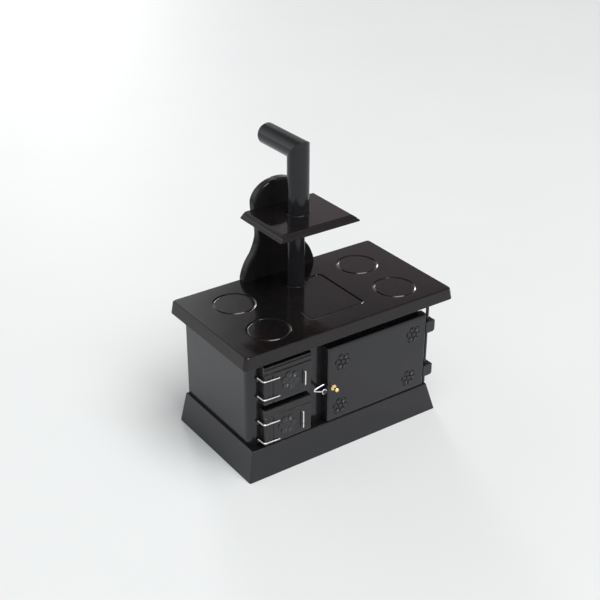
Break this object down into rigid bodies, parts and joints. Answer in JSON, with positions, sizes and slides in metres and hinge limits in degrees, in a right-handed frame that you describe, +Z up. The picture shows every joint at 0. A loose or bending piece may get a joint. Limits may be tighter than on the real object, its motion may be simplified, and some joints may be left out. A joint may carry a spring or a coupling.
{
  "type": "dolls house cooking range",
  "caption": "Black dolls' house cooking range with an oven door, fire doors, a ringed hob top, a backboard with a warming shelf, and a flue that turns to the back.",
  "frame": {"origin": "centre of the plinth's underside", "axes": "+X along the front to the right as seen by someone facing the doors, +Y to the back, +Z up"},
  "size_m": [0.122, 0.0748, 0.1466],
  "materials": {
    "cabinet_paint": "black satin paint on wood",
    "top_paint": "black semi-gloss paint on wood",
    "door_paint": "black satin paint on wood",
    "flue_paint": "black satin paint on dowel",
    "black_trim": "black semi-gloss paint on stamped metal",
    "black_wire": "black paint on wire",
    "bright_wire": "bright drawn wire",
    "brass": "polished turned brass"
  },
  "bodies": {
    "cabinet": {"back_panel": "cabinet_paint", "backboard": "top_paint", "base_plinth": "cabinet_paint", "centre_divider": "cabinet_paint", "centre_stile": "cabinet_paint", "fire_door_hinge_eyes": "black_wire", "fire_head_rail": "cabinet_paint", "fire_mid_rail": "cabinet_paint", "fire_shelf": "cabinet_paint", "floor_board": "cabinet_paint", "flue_outlet": "flue_paint", "hob_top": "top_paint", "latch_pin": "black_wire", "left_side_panel": "cabinet_paint", "lower_flue": "flue_paint", "lower_flue_collar": "flue_paint", "oven_head_rail": "cabinet_paint", "oven_hinge_rod": "black_wire", "right_side_panel": "cabinet_paint", "upper_flue": "flue_paint", "upper_flue_collar": "flue_paint", "warming_shelf": "top_paint"},
    "oven_door": {"oven_door": "door_paint", "oven_rosette_upper_left": "black_trim", "oven_rosette_upper_right": "black_trim", "oven_rosette_lower_left": "black_trim", "oven_rosette_lower_right": "black_trim", "oven_hinge_lug_upper": "door_paint", "oven_hinge_lug_lower": "door_paint", "oven_door_knob": "brass"},
    "upper_fire_door": {"upper_fire_door": "door_paint", "upper_door_rosette": "black_trim", "upper_door_handle": "bright_wire", "upper_door_top_hinge_wire": "bright_wire", "upper_door_bottom_hinge_wire": "bright_wire"},
    "lower_fire_door": {"lower_fire_door": "door_paint", "lower_door_rosette": "black_trim", "lower_door_handle": "bright_wire", "lower_door_top_hinge_wire": "bright_wire", "lower_door_bottom_hinge_wire": "bright_wire"},
    "latch_hook": {"latch_hook": "bright_wire"}
  },
  "joints": [
    {"name": "oven_door_hinge", "type": "hinge", "parent": "cabinet", "child": "oven_door", "pos_m": [0.0527, -0.0276, 0.03575], "axis": [0, 0, 1], "range_deg": [0, 110]},
    {"name": "upper_fire_door_hinge", "type": "hinge", "parent": "cabinet", "child": "upper_fire_door", "pos_m": [-0.0477, -0.0261, 0.0475], "axis": [0, 0, -1], "range_deg": [0, 100]},
    {"name": "lower_fire_door_hinge", "type": "hinge", "parent": "cabinet", "child": "lower_fire_door", "pos_m": [-0.0477, -0.0261, 0.0236], "axis": [0, 0, -1], "range_deg": [0, 100]},
    {"name": "latch_swing", "type": "hinge", "parent": "cabinet", "child": "latch_hook", "pos_m": [-0.0132, -0.03125, 0.035], "axis": [0, 1, 0], "range_deg": [0, 135]}
  ]
}
